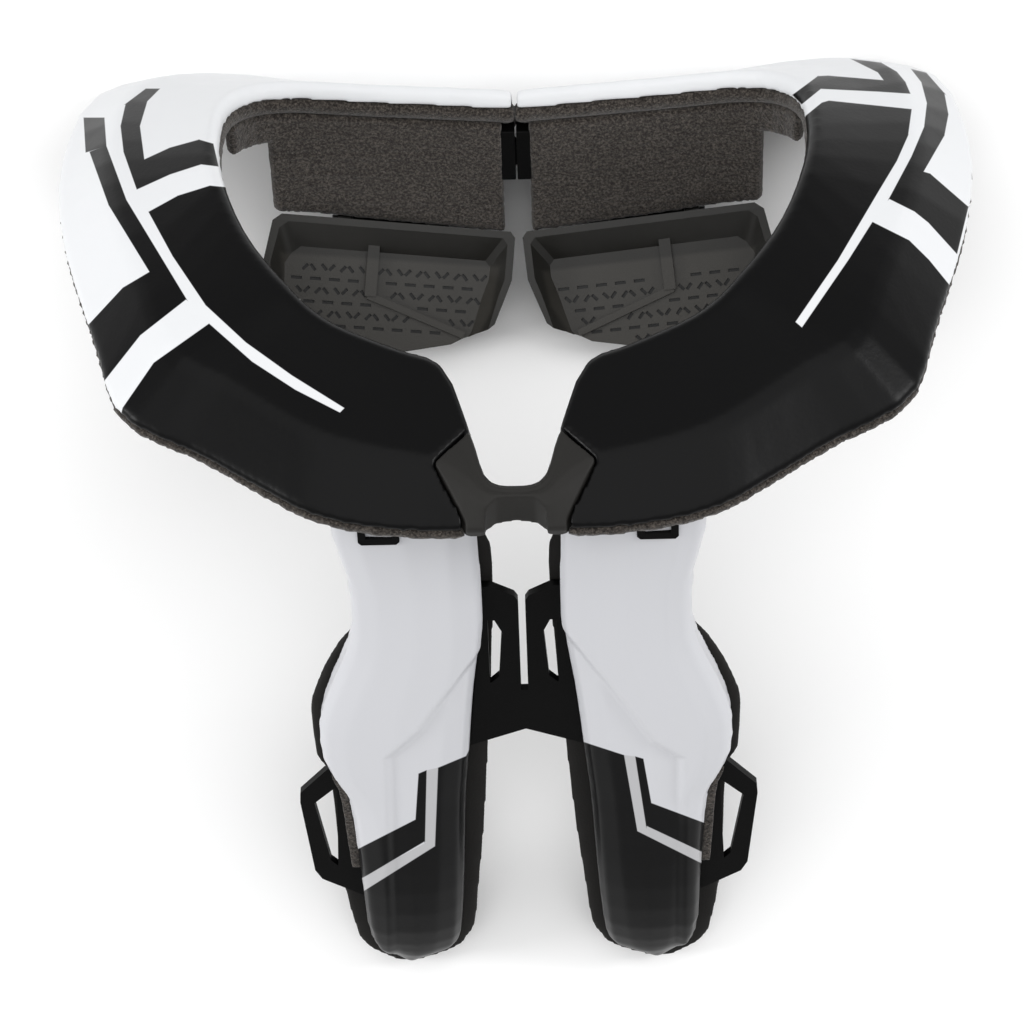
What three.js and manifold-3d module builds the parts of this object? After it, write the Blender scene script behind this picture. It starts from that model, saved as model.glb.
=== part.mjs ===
// A motocross neck brace: a wide two-part collar table with felt-covered pads under it, a flexible
// bridge at the nape, two hinged chest pads in front and two padded wings down the back.
// Millimetres. In the worn frame +X is the wearer's right, +Y is forward and +Z is up.
import * as THREE from "three";
import { mergeVertices } from "three/addons/utils/BufferGeometryUtils.js";
import Module from "manifold-3d";

const wasm = await Module();
wasm.setup();

// Driving dimensions of the collar
const collarHalfWidth = 152;
const collarDepth = 248;
const collarArch = 50;
const tableThickness = 5;
const innerLipDepth = 5.5;
const innerLipRadius = 4;
const outerLipDepth = 2.4;
const lipWall = 3;
const creaseLift = 8;
const seamGap = 1.8;
const pieceGap = 0.3;

// Felt-covered pad under the table
const padThickness = 6;
const padEdge = 3;
const padInnerEdge = 5;
const padInset = 1.2;

// Flexible bridge at the nape
const bridgeThickness = 10;
const bridgeSink = 0.5;
const bridgeGap = 0.6;
const bridgeArmReach = 24.5;
const bridgeEndHalfWidth = 14;
const bridgeCutBeyond = 20;
const scoopWidth = 19;
const scoopDepth = 6.5;

// Front struts, the felt on them and the clasp between them
const feltThickness = 2.6;
const feltSetback = 2;
const feltLength = 42;
const feltFall = 5.5;
const curtainReach = 81;
const flapReach = 93;
const flapDepth = 12;
const strutThickness = 3;
const strutFlange = 22;
const strutEndX = 5.4;
const claspHeight = 20.5;
const claspSeam = 0.6;
const tongueReach = 2;

// Chest pads and their hinges
const trayWidth = 86;
const trayHeight = 49;
const trayDepth = 10.5;
const trayFloorDepth = 8;
const trayRim = 2.5;
const trayTilt = THREE.MathUtils.degToRad(40);
const trayCant = THREE.MathUtils.degToRad(7.5);
const trayInnerX = 1.6;
const hingeDrop = 5.6;
const pinRadius = 1.5;
const pinClearance = 0.3;
const barrelRadius = 3.4;
const barrelLength = 26;
const earThickness = 5;
const pinOverhang = 2;
const ribWidth = 4;
const ribHeight = 2.2;

// Back wings: shells, foam pads, link, strap loops and clips
const wingLength = 220.4;
const wingTopZ = -18;
const wingReach = 66.5;
const wingShellDepth = 13;
const wingWall = 2.2;
const wingRimY = 40;
const wingRimLean = 0.072;
const wingBevel = 9;
const wingBevelDrop = 2.4;
const wingPadThickness = 8;
const wingPadLip = 2.6;
const wingPadTaper = 5;
const linkThickness = 3;
const linkTopZ = -75.5;
const linkHeight = 67;
const linkSlot = 2.3;
const linkArmWidth = 5.6;
const linkWindow = 4.4;
const loopReach = 76;
const loopHeight = 58.5;
const loopThickness = 3;
const loopTopZ = -150.5;
const clipWidth = 13;
const clipBar = 2.4;
const clipWindow = 14;
const clipThickness = 2.4;
const clipBottomZ = -46;
const clipX = 43.4;

const paint = (color, roughness, metalness = 0) =>
  new THREE.MeshStandardMaterial({ color, roughness, metalness });
const tableSkin = paint(0x17181a, 0.35);
const shellSkin = paint(0xf2f3f5, 0.25);
const blackPlastic = paint(0x141414, 0.5);
const bridgeRubber = paint(0x2e2d2b, 0.6);
const greyFelt = paint(0x3d3833, 0.95);
const blackFoam = paint(0x1e1d1b, 0.8);
const darkMetal = paint(0x4a4a4c, 0.4, 0.9);

// Collar stations from the middle of the nape to the front seam. Each row holds the table's inner and
// outer edge: x as a share of collarHalfWidth, y of collarDepth and z of collarArch, and the height and
// place of the crease as shares of creaseLift and of the table's width.
const collarColumns = ["inX", "inY", "inZ", "outX", "outY", "outZ", "lift", "crease"];
const collarStations = [
  [0.0, 0.062, -0.28, 0.0, 0.012, -0.44, 0.35, 0.6],
  [0.052, 0.068, -0.26, 0.06, 0.012, -0.44, 0.45, 0.64],
  [0.086, 0.125, -0.16, 0.1, 0.012, -0.44, 0.6, 0.66],
  [0.15, 0.228, 0.0, 0.185, 0.022, -0.48, 0.9, 0.72],
  [0.224, 0.246, 0.04, 0.31, 0.034, -0.48, 1.0, 0.72],
  [0.293, 0.262, 0.08, 0.42, 0.056, -0.46, 1.0, 0.72],
  [0.362, 0.282, 0.12, 0.526, 0.098, -0.42, 1.0, 0.72],
  [0.408, 0.302, 0.16, 0.645, 0.146, -0.36, 1.0, 0.71],
  [0.454, 0.33, 0.22, 0.81, 0.206, -0.28, 1.0, 0.7],
  [0.546, 0.415, 0.3, 0.875, 0.32, -0.18, 0.95, 0.68],
  [0.605, 0.512, 0.36, 0.974, 0.54, -0.14, 0.85, 0.68],
  [0.628, 0.615, 0.32, 0.996, 0.72, -0.2, 0.75, 0.68],
  [0.612, 0.727, 0.2, 0.94, 0.926, -0.42, 0.65, 0.68],
  [0.533, 0.781, 0.1, 0.765, 0.997, -0.59, 0.5, 0.68],
  [0.303, 0.784, 0.04, 0.4, 0.972, -0.68, 0.4, 0.68],
  [0.0, 0.774, 0.0, 0.0, 0.954, -0.72, 0.35, 0.68],
].map((row) => Object.fromEntries(collarColumns.map((name, i) => [name, row[i]])));
const lastStation = collarStations.length - 1;

// Wing sections from the hidden top to the tip: distance down as a share of wingLength, the inner and
// outer side as shares of wingReach, and the shell's depth as a share of wingShellDepth.
const wingColumns = ["down", "inner", "outer", "depth"];
const wingRows = [
  [0.0, 0.21, 0.902, 1.0],
  [0.145, 0.204, 0.872, 1.0],
  [0.218, 0.197, 0.818, 1.0],
  [0.3, 0.194, 0.809, 1.0],
  [0.358, 0.21, 0.842, 1.0],
  [0.427, 0.24, 0.932, 1.0],
  [0.495, 0.262, 1.0, 1.0],
  [0.563, 0.281, 0.995, 1.0],
  [0.604, 0.293, 0.947, 1.0],
  [0.645, 0.305, 0.887, 1.0],
  [0.726, 0.319, 0.863, 1.0],
  [0.817, 0.335, 0.848, 1.0],
  [0.904, 0.355, 0.838, 0.92],
  [0.956, 0.379, 0.817, 0.74],
  [0.975, 0.43, 0.78, 0.6],
  [1.0, 0.59, 0.69, 0.34],
].map((row) => Object.fromEntries(wingColumns.map((name, i) => [name, row[i]])));

// Foam pad sections behind each wing, in the same shares, with the shoulder-blade lobe half way down.
const wingPadRows = [
  [0.0, 0.203, 0.842, 1.0],
  [0.145, 0.2, 0.812, 1.0],
  [0.177, 0.173, 0.8, 1.0],
  [0.204, 0.135, 0.797, 1.0],
  [0.268, 0.132, 0.79, 1.0],
  [0.336, 0.141, 0.803, 1.0],
  [0.381, 0.149, 0.902, 1.0],
  [0.427, 0.158, 0.983, 1.0],
  [0.485, 0.17, 1.051, 1.0],
  [0.517, 0.177, 1.062, 1.0],
  [0.599, 0.195, 1.047, 1.0],
  [0.626, 0.2, 0.995, 1.0],
  [0.753, 0.232, 0.977, 1.0],
  [0.871, 0.271, 0.959, 1.0],
  [0.948, 0.298, 0.92, 1.0],
  [0.975, 0.338, 0.9, 1.0],
  [1.0, 0.406, 0.842, 1.0],
  [1.026, 0.6, 0.7, 1.0],
].map((row) => Object.fromEntries(wingColumns.map((name, i) => [name, row[i]])));

// Value of one column at a fractional row, on a curve that passes through every row.
function along(rows, column, at) {
  const row = Math.min(Math.floor(at), rows.length - 2);
  const pick = (i) => rows[THREE.MathUtils.clamp(i, 0, rows.length - 1)][column];
  const [before, from, to, after] = [pick(row - 1), pick(row), pick(row + 1), pick(row + 2)];
  const t = at - row;
  const bend = (2 * before - 5 * from + 4 * to - after) * t * t;
  const twist = (3 * from - before - 3 * to + after) * t * t * t;
  return from + 0.5 * ((to - before) * t + bend + twist);
}

const steps = (from, to, count) =>
  Array.from({ length: count + 1 }, (_, i) => from + ((to - from) * i) / count);

// Turns a geometry's faces outwards.
function faceOut(geometry) {
  const p = geometry.getAttribute("position");
  const index = geometry.index.array;
  const [a, b, c] = [new THREE.Vector3(), new THREE.Vector3(), new THREE.Vector3()];
  let volume = 0;
  for (let i = 0; i < index.length; i += 3) {
    a.fromBufferAttribute(p, index[i]);
    b.fromBufferAttribute(p, index[i + 1]);
    c.fromBufferAttribute(p, index[i + 2]);
    volume += a.dot(b.cross(c));
  }
  if (volume < 0) index.reverse();
  return geometry;
}

// A closed body through a row of sections. Each is { flat: [[a, b], ...], place: (a, b) => Vector3 }.
function loft(sections) {
  const count = sections[0].flat.length;
  const positions = sections.flatMap(({ flat, place }) =>
    flat.flatMap(([a, b]) => place(a, b).toArray()),
  );
  const faces = [];
  for (let s = 0; s < sections.length - 1; s++)
    for (let i = 0; i < count; i++) {
      const [p, q] = [s * count + i, s * count + ((i + 1) % count)];
      faces.push(p, q, q + count, p, q + count, p + count);
    }
  for (const [s, turned] of [[0, true], [sections.length - 1, false]]) {
    const contour = sections[s].flat.map(([a, b]) => new THREE.Vector2(a, b));
    const forwards = THREE.ShapeUtils.area(contour) > 0;
    for (const [i, j, k] of THREE.ShapeUtils.triangulateShape(contour, [])) {
      const cap = turned === forwards ? [k, j, i] : [i, j, k];
      faces.push(...cap.map((v) => s * count + v));
    }
  }
  const geometry = new THREE.BufferGeometry();
  geometry.setAttribute("position", new THREE.Float32BufferAttribute(positions, 3));
  geometry.setIndex(faces);
  return faceOut(geometry);
}

// A flat plate: an outline in the XZ plane, thickened along Y from front to back.
function plate(outline, front, thickness, holes = []) {
  const points = outline.map(([x, z]) => new THREE.Vector2(x, z));
  const shape = new THREE.Shape(THREE.ShapeUtils.isClockWise(points) ? points.reverse() : points);
  for (const hole of holes) {
    shape.holes.push(new THREE.Path(hole.map(([x, z]) => new THREE.Vector2(x, z))));
  }
  const made = new THREE.ExtrudeGeometry(shape, { depth: thickness, bevelEnabled: false });
  return made.rotateX(Math.PI / 2).translate(0, front + thickness, 0);
}

// A rod along X, from one end to the other, round a centre in Y and Z.
function rod(radius, fromX, toX, sides = 16) {
  const made = new THREE.CylinderGeometry(radius, radius, toX - fromX, sides);
  return made.rotateZ(Math.PI / 2).translate((fromX + toX) / 2, 0, 0);
}

function block(x0, x1, y0, y1, z0, z1) {
  const made = new THREE.BoxGeometry(x1 - x0, y1 - y0, z1 - z0);
  return made.translate((x0 + x1) / 2, (y0 + y1) / 2, (z0 + z1) / 2);
}

function toSolid(geometry) {
  const bare = geometry.clone();
  bare.deleteAttribute("normal");
  bare.deleteAttribute("uv");
  const merged = mergeVertices(bare, 1e-4);
  return new wasm.Manifold(
    new wasm.Mesh({
      numProp: 3,
      vertProperties: new Float32Array(merged.getAttribute("position").array),
      triVerts: new Uint32Array(merged.index.array),
    }),
  );
}

// The largest body of a solid, as a geometry.
function toGeometry(solid) {
  const bodies = solid.decompose();
  const largest = bodies.reduce((a, b) => (b.volume() > a.volume() ? b : a));
  const mesh = largest.getMesh();
  const geometry = new THREE.BufferGeometry();
  geometry.setAttribute("position", new THREE.Float32BufferAttribute(mesh.vertProperties, 3));
  geometry.setIndex([...mesh.triVerts]);
  return geometry;
}

function carve(geometry, ...cutters) {
  const solid = cutters.reduce((left, cutter) => left.subtract(toSolid(cutter)), toSolid(geometry));
  return toGeometry(solid);
}

function fuse(first, ...others) {
  return toGeometry(others.reduce((sum, other) => sum.add(toSolid(other)), toSolid(first)));
}

function mirrored(geometry) {
  const copy = geometry.index ? geometry.clone() : mergeVertices(geometry);
  copy.scale(-1, 1, 1);
  copy.deleteAttribute("normal");
  copy.deleteAttribute("uv");
  return faceOut(copy);
}

// The collar's two edge curves run round the whole ring. Station 0 is the middle of the nape, and
// negative stations are the wearer's left side.
function edgeCurve(x, y, z) {
  const point = (row, side) =>
    new THREE.Vector3(
      side * row[x] * collarHalfWidth,
      row[y] * collarDepth,
      row[z] * collarArch,
    );
  const left = collarStations.slice(1).reverse().map((row) => point(row, -1));
  const right = collarStations.map((row) => point(row, 1));
  return new THREE.CatmullRomCurve3([...left, ...right], false, "centripetal");
}
const innerEdge = edgeCurve("inX", "inY", "inZ");
const outerEdge = edgeCurve("outX", "outY", "outZ");

// The collar's cross-section at a station: a runs outwards from the inner edge, b runs up from it.
function collarSection(station) {
  const t = (station + lastStation) / (2 * lastStation);
  const inner = innerEdge.getPoint(t);
  const outer = outerEdge.getPoint(t);
  const outwards = new THREE.Vector3(outer.x - inner.x, outer.y - inner.y, 0);
  const width = outwards.length();
  outwards.normalize();
  const drop = inner.z - outer.z;
  const lift = creaseLift * along(collarStations, "lift", Math.abs(station));
  const crease = width * along(collarStations, "crease", Math.abs(station));
  const chord = (a) => (-drop * a) / width;
  const place = (a, b) => inner.clone().addScaledVector(outwards, a).setZ(inner.z + b);
  return { inner, width, drop, lift, crease, chord, place };
}

// Upper face from the inner lip over the crowned top and the crease to the outer lip.
function topFace({ width, lift, crease, chord }) {
  const round = innerLipRadius * (1 - Math.SQRT1_2);
  const middle = 0.38 * width;
  return [
    [0, -innerLipRadius],
    [round, -round],
    [innerLipRadius, 0],
    [middle, chord(middle) + 0.62 * lift],
    [crease - 2, chord(crease - 2) + lift],
    [crease + 1.5, chord(crease + 1.5) + 0.92 * lift],
    [width - 0.8, chord(width) + 0.7],
    [width, chord(width) - 0.3],
  ];
}

// Hollow underside, from the outer lip back to the inner lip, pushed down by a gap.
function underFace({ width, drop, lift, crease, chord }, gap) {
  const middle = 0.38 * width;
  return [
    [width - lipWall - gap, -drop - outerLipDepth - gap],
    [crease + 0.5 - gap, chord(crease + 0.5) + 0.92 * lift - tableThickness - gap],
    [crease - 2, chord(crease - 2) + lift - tableThickness - gap],
    [middle, chord(middle) + 0.62 * lift - tableThickness - gap],
    [lipWall + 1.5 + gap, -tableThickness - 0.5 - gap],
    [lipWall + gap, -innerLipDepth - gap],
  ];
}

function tableSection(station) {
  const section = collarSection(station);
  const { width, drop, place } = section;
  const flat = [
    [0, -innerLipDepth],
    ...topFace(section),
    [width, -drop - outerLipDepth],
    ...underFace(section, 0),
  ];
  return { flat, place };
}

// Lower face of the felt pad, from its inner edge outwards.
function padBottom({ width, drop, lift, crease, chord }) {
  const innerZ = -innerLipDepth - pieceGap - padInnerEdge;
  const outerZ = -drop - outerLipDepth - pieceGap - padEdge;
  const middle = 0.38 * width;
  const soft = 1.2;
  return [
    [padInset, innerZ + soft],
    [padInset + soft, innerZ],
    [middle, chord(middle) + 0.5 * lift - tableThickness - padThickness],
    [crease, chord(crease) + 0.4 * lift - tableThickness - padThickness],
    [width - padInset - soft, outerZ],
    [width - padInset, outerZ + soft],
  ];
}

function padSection(station) {
  const section = collarSection(station);
  const { width, drop, place } = section;
  const flat = [
    ...padBottom(section),
    [width - padInset, -drop - outerLipDepth - pieceGap],
    ...underFace(section, pieceGap),
    [padInset, -innerLipDepth - pieceGap],
  ];
  return { flat, place };
}

// The room that the table and its pad take up, with the gap that neighbours keep under them.
function keepOutSection(station) {
  const section = collarSection(station);
  const { width, place } = section;
  const lowered = padBottom(section).map(([a, b]) => [a, b - pieceGap]);
  const above = 60;
  const flat = [[-1, lowered[0][1]], ...lowered, [width + 1, lowered.at(-1)[1]]];
  return { flat: [...flat, [width + 1, above], [-1, above]], place };
}

function bridgeSection(station) {
  const section = collarSection(station);
  const { width, drop, place } = section;
  const top = topFace(section).map(([a, b]) => [a, b - bridgeSink]);
  const flat = [
    [1, -bridgeThickness],
    ...top,
    [width, -drop - outerLipDepth],
    [width - 1.5, -drop - outerLipDepth - padEdge],
    [0.5 * width, Math.min(-bridgeThickness, -drop - outerLipDepth - padEdge + 1)],
  ];
  return { flat, place };
}

// The bridge's outline seen from above: an arrow-shaped arm to each side, grown by a gap.
function bridgeOutline(gap) {
  const tipY = 0.08 * collarDepth;
  const shoulderY = 0.128 * collarDepth;
  const right = [
    [bridgeEndHalfWidth + gap, -bridgeCutBeyond],
    [bridgeEndHalfWidth + 1.5 + gap, 0.02 * collarDepth],
    [bridgeArmReach + gap, tipY],
    [bridgeEndHalfWidth - 1 + gap, shoulderY + gap],
    [bridgeEndHalfWidth - 2 + gap, shoulderY + bridgeCutBeyond],
  ];
  return [...right, ...right.map(([x, y]) => [-x, y]).reverse()];
}

// An upright prism over an outline in plan.
function prism(outline, bottom, top) {
  const shape = new THREE.Shape(outline.map(([x, y]) => new THREE.Vector2(x, y)));
  const made = new THREE.ExtrudeGeometry(shape, { depth: top - bottom, bevelEnabled: false });
  return made.translate(0, 0, bottom);
}

const rearStation = 2;
const frontStation = (gap) => lastStation - gap / 2 / (collarStations[14].inX * collarHalfWidth);
const ringRange = steps(-frontStation(seamGap), -rearStation, 38);
const bridgePocket = prism(bridgeOutline(bridgeGap), -collarArch * 2, collarArch * 2);

const leftTable = carve(loft(ringRange.map(tableSection)), bridgePocket);
const leftPad = carve(loft(ringRange.map(padSection)), bridgePocket);

function makeBridge() {
  const body = toSolid(loft(steps(-3.6, 3.6, 24).map(bridgeSection)));
  const kept = body.intersect(toSolid(prism(bridgeOutline(0), -collarArch * 2, collarArch * 2)));
  const rearY = 0.012 * collarDepth;
  const half = scoopWidth / 2;
  const scoop = [
    [-half, rearY - 10],
    [half, rearY - 10],
    [half, rearY + 0.45 * scoopDepth],
    [0.62 * half, rearY + 0.9 * scoopDepth],
    [0, rearY + scoopDepth],
    [-0.62 * half, rearY + 0.9 * scoopDepth],
    [-half, rearY + 0.45 * scoopDepth],
  ];
  return toGeometry(kept.subtract(toSolid(prism(scoop, -collarArch * 2, collarArch * 2))));
}

// Depths of the front pieces behind the collar's inner edge, and the height where they start
const feltFront = feltSetback;
const strutFront = feltFront + feltThickness + pieceGap;
const strutBack = strutFront + strutThickness;
const frontTop = -innerLipDepth - pieceGap - padInnerEdge - pieceGap;
const feltBottom = frontTop - feltLength;
const outerFrontStation = stationAtX(curtainReach);
const flapStation = stationAtX(flapReach);

// Station in the collar's front where its inner edge is at a distance from the middle. A reach past
// the opening's widest station runs on backwards along its side.
function stationAtX(x) {
  const share = x / collarHalfWidth;
  const widest = collarStations.reduce((best, row, i, rows) => (row.inX > rows[best].inX ? i : best), 0);
  const [side, beside] = [collarStations[widest], collarStations[widest - 1]];
  const surplus = x - side.inX * collarHalfWidth;
  if (surplus > 0) return widest - surplus / ((side.inY - beside.inY) * collarDepth);
  const next = collarStations.findLastIndex((row) => row.inX >= share);
  const [from, to] = [collarStations[next], collarStations[next + 1]];
  return next + (from.inX - share) / (from.inX - to.inX);
}

// Height of the pad's lower face at a distance from the collar's inner edge.
function padBottomAt(section, a) {
  const path = padBottom(section);
  const next = path.findIndex(([x]) => x >= a);
  const [x0, z0] = path[next - 1];
  const [x1, z1] = path[next];
  return z0 + ((z1 - z0) * (a - x0)) / (x1 - x0);
}

// The felt's lower end falls towards the seam.
function feltEnd({ inner }) {
  return feltBottom - feltFall * (1 - Math.abs(inner.x) / curtainReach);
}

function feltSection(station, end) {
  const section = collarSection(station);
  const roof = padBottomAt(section, feltFront + feltThickness) - pieceGap;
  const bottom = end ?? feltEnd(section);
  const flat = [
    [feltFront, bottom],
    [feltFront, roof],
    [feltFront + feltThickness, roof],
    [feltFront + feltThickness, bottom],
  ];
  return { flat, place: section.place };
}

// An angle section: a web that hangs down behind the felt and a flange under the pad.
function strutSection(station) {
  const section = collarSection(station);
  const roof = (a) => padBottomAt(section, a) - pieceGap;
  const middle = 0.38 * section.width;
  const flangeEnd = middle + 0.5 * strutFlange;
  const flat = [
    [strutFront, feltEnd(section)],
    [strutFront, roof(strutFront)],
    [middle, roof(middle)],
    [flangeEnd, roof(flangeEnd)],
    [flangeEnd, roof(flangeEnd) - strutThickness],
    [middle, roof(middle) - strutThickness],
    [strutBack, roof(strutBack) - strutThickness],
    [strutBack, feltEnd(section)],
  ];
  return { flat, place: section.place };
}

// The chest pad's hinge line, in the worn frame: behind its top edge, under the strut.
const hingeX = trayInnerX + trayWidth / 2;
const hingeSeat = collarSection(stationAtX(hingeX)).inner;
const hingeY = hingeSeat.y + (strutFront + strutBack) / 2;
const hingeZ = hingeSeat.z + feltEnd({ inner: hingeSeat }) - hingeDrop;

function onHinge(object, side) {
  object.position.set(side * hingeX, hingeY, hingeZ);
  object.rotation.set(0, -side * trayCant, 0, "YXZ");
  return object;
}

// Moves a geometry that was made round the left hinge line into the worn frame.
function atLeftHinge(geometry) {
  const place = onHinge(new THREE.Object3D(), -1);
  place.updateMatrix();
  return geometry.clone().applyMatrix4(place.matrix);
}

// The felt hangs as a curtain below the pad, with a short flap outside it round the corner.
function makeFelt() {
  const curtain = steps(-stationAtX(strutEndX), -outerFrontStation, 12);
  const flap = steps(-outerFrontStation + 0.02, -flapStation, 3);
  const flapEnd = frontTop - flapDepth;
  return loft([
    ...curtain.map((station) => feltSection(station)),
    ...flap.map((station) => feltSection(station, flapEnd)),
  ]);
}

function makeStrut() {
  const range = steps(-stationAtX(strutEndX), -outerFrontStation - 0.05, 12);
  const half = barrelLength / 2;
  const web = block(-half, half, -strutThickness / 2, strutThickness / 2, 0, hingeDrop + 6);
  const knuckle = fuse(rod(barrelRadius, -half, half), web);
  const bored = carve(knuckle, rod(pinRadius + pinClearance, -half - 1, half + 1));
  return fuse(loft(range.map(strutSection)), atLeftHinge(bored));
}

// Outline of a chest pad, u outwards from the inner end and v down, as shares of its width and height,
// with how far each corner follows an inset of the top, of the sides and of the bottom edge.
const trayColumns = ["u", "v", "top", "side", "bottom"];
const trayCorners = [
  [0.02, 0.0, 1, 1, 0],
  [0.94, 0.0, 1, -1, 0],
  [0.975, 0.05, 1, -1, 0],
  [1.0, 0.34, 0, -1, 0],
  [0.985, 0.8, 0, -1, 0.5],
  [0.91, 1.0, 0, -1, 1],
  [0.46, 0.94, 0, 0, 1],
  [0.22, 0.84, 0, 0, 1],
  [0.125, 0.775, 0, 1, 1],
  [0.055, 0.66, 0, 1, 0.6],
  [0.02, 0.46, 0, 1, 0],
  [0.0, 0.34, 0, 1, 0],
  [0.0, 0.04, 1, 1, 0],
].map((row) => Object.fromEntries(trayColumns.map((name, i) => [name, row[i]])));

// One level of the pad, in the hinge's frame: x outwards, y away from the chest, z up.
function trayLevel(depth, top, side, bottom) {
  const edgeY = -trayDepth - pieceGap;
  const flat = trayCorners.map((corner) => [
    corner.u * trayWidth - trayWidth / 2 + corner.side * side,
    -corner.v * trayHeight - corner.top * top + corner.bottom * bottom,
  ]);
  return { flat, place: (a, b) => new THREE.Vector3(-a, edgeY + depth, b) };
}

function makeTray() {
  const wallTop = 8;
  const wallSide = 5;
  const beyond = 6;
  const outside = loft([trayLevel(0, 0, 0, 0), trayLevel(trayDepth, 6, 3, 1)]);
  const hollow = loft([
    trayLevel(-1, trayRim, trayRim, -beyond),
    trayLevel(0, trayRim, trayRim, -beyond),
    trayLevel(trayFloorDepth, trayRim + wallTop, trayRim + wallSide, -beyond),
  ]);
  const floorY = -trayDepth - pieceGap + trayFloorDepth;
  const bendX = -0.56 * trayWidth + trayWidth / 2;
  const bendZ = -0.53 * trayHeight;
  const upright = block(
    bendX - ribWidth / 2,
    bendX + ribWidth / 2,
    floorY - ribHeight,
    floorY + 1,
    bendZ,
    -0.16 * trayHeight,
  );
  const footX = -0.17 * trayWidth + trayWidth / 2;
  const footZ = -0.755 * trayHeight;
  const run = Math.hypot(footX - bendX, footZ - bendZ);
  const slanted = block(-1, run, floorY - 0.7 * ribHeight, floorY + 1, -1.2, 1.2);
  slanted.rotateY(-Math.atan2(footZ - bendZ, footX - bendX)).translate(bendX, 0, bendZ);
  const earFrom = barrelLength / 2 + pieceGap;
  const ears = [-earFrom - earThickness, earFrom].map((x) => {
    const arm = block(x, x + earThickness, -3, 3, -9, 0);
    return fuse(rod(barrelRadius, x, x + earThickness), arm);
  });
  const solid = fuse(carve(outside, hollow), upright, slanted, ...ears);
  const reach = earFrom + earThickness + 1;
  const bore = rod(pinRadius + pinClearance, -reach, reach);
  const barrelRoom = rod(barrelRadius + pinClearance, -barrelLength / 2 - pieceGap, barrelLength / 2 + pieceGap);
  return carve(solid, bore, barrelRoom);
}

function makePin() {
  const reach = barrelLength / 2 + pieceGap + earThickness + pinOverhang;
  return rod(pinRadius, -reach, reach);
}

const claspTop = padBottomAt(collarSection(lastStation), strutBack) - 2 * pieceGap;

// The clasp's two plates close the front seam between the felt-covered struts.
function claspPlate(fromX, toX) {
  const middle = collarSection(-lastStation).inner;
  const top = middle.z + claspTop;
  return block(fromX, toX, middle.y + feltFront, middle.y + strutBack, top - claspHeight, top);
}

function makeClasps() {
  const half = claspSeam / 2;
  const end = strutEndX - pieceGap;
  const middle = collarSection(-lastStation).inner;
  const y = middle.y + (feltFront + strutBack) / 2;
  const z = middle.z + claspTop - claspHeight / 2;
  const tongue = (grow) =>
    block(-half - 1, tongueReach + grow, y - 1.5 - grow, y + 1.5 + grow, z - 5 - grow, z + 5 + grow);
  return {
    left: fuse(claspPlate(-end, -half), tongue(0)),
    right: carve(claspPlate(half, end), tongue(pieceGap)),
  };
}

const wingZ = (down) => wingTopZ - down * wingLength;
const wingRim = (z) => wingRimY + wingRimLean * (z - wingTopZ);

// One level of a wing's shell: a thin wall round a raised middle panel, open towards the back.
function shellSection(at) {
  const z = wingZ(along(wingRows, "down", at));
  const inner = along(wingRows, "inner", at) * wingReach;
  const outer = along(wingRows, "outer", at) * wingReach;
  const depth = along(wingRows, "depth", at) * wingShellDepth;
  const rim = wingRim(z);
  const face = rim - depth;
  const bevel = Math.min(wingBevel, (outer - inner) / 3);
  const fall = Math.min(wingBevelDrop, depth * 0.3);
  const shoulder = Math.min(5.5, depth * 0.6);
  const half = (wall) => [
    [inner + wall, rim],
    [inner + 0.4 + wall, face + shoulder + wall * 0.5],
    [inner + 0.3 * bevel + wall * 0.7, face + fall + wall * 0.8],
    [inner + bevel, face + wall],
  ];
  const mirror = ([x, y]) => [inner + outer - x, y];
  const middle = (wall) => [(inner + outer) / 2, face - 0.8 + wall];
  const wall = Math.min(wingWall, depth * 0.7);
  const outside = [...half(0), middle(0), ...half(0).reverse().map(mirror)];
  const inside = [...half(wall), middle(wall), ...half(wall).reverse().map(mirror)];
  const flat = [...outside, ...inside.reverse()];
  return { flat, place: (a, b) => new THREE.Vector3(-a, b, z) };
}

function wingPadSection(at) {
  const z = wingZ(along(wingPadRows, "down", at));
  const inner = along(wingPadRows, "inner", at) * wingReach;
  const outer = along(wingPadRows, "outer", at) * wingReach;
  const front = wingRim(z) + pieceGap;
  const back = front + wingPadThickness;
  const lip = front + wingPadLip;
  const taper = Math.min(wingPadTaper, 0.35 * (outer - inner));
  const flat = [
    [inner, lip],
    [inner, front + 0.6],
    [inner + 0.6, front],
    [outer - 0.6, front],
    [outer, front + 0.6],
    [outer, lip],
    [outer - taper, back],
    [inner + taper, back],
  ];
  return { flat, place: (a, b) => new THREE.Vector3(-a, b, z) };
}

const leftKeepOut = loft(steps(-7.5, -0.6, 20).map(keepOutSection));
const wholeRows = (rows, each) => steps(0, rows.length - 1, each * (rows.length - 1));
const leftShell = carve(loft(wholeRows(wingRows, 2).map(shellSection)), leftKeepOut);
const leftWingPad = carve(loft(wholeRows(wingPadRows, 2).map(wingPadSection)), leftKeepOut);

// Inner or outer side of the shell at a height, on the straight run between two of its sections.
function shellSide(z, column) {
  const sections = wholeRows(wingRows, 2);
  const down = (wingTopZ - z) / wingLength;
  const next = sections.findIndex((at) => along(wingRows, "down", at) >= down);
  const [from, to] = [sections[next - 1], sections[next]];
  const [fromDown, toDown] = [from, to].map((at) => along(wingRows, "down", at));
  const share = (down - fromDown) / (toDown - fromDown);
  const [near, far] = [from, to].map((at) => along(wingRows, column, at));
  return THREE.MathUtils.lerp(near, far, share) * wingReach;
}

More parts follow.
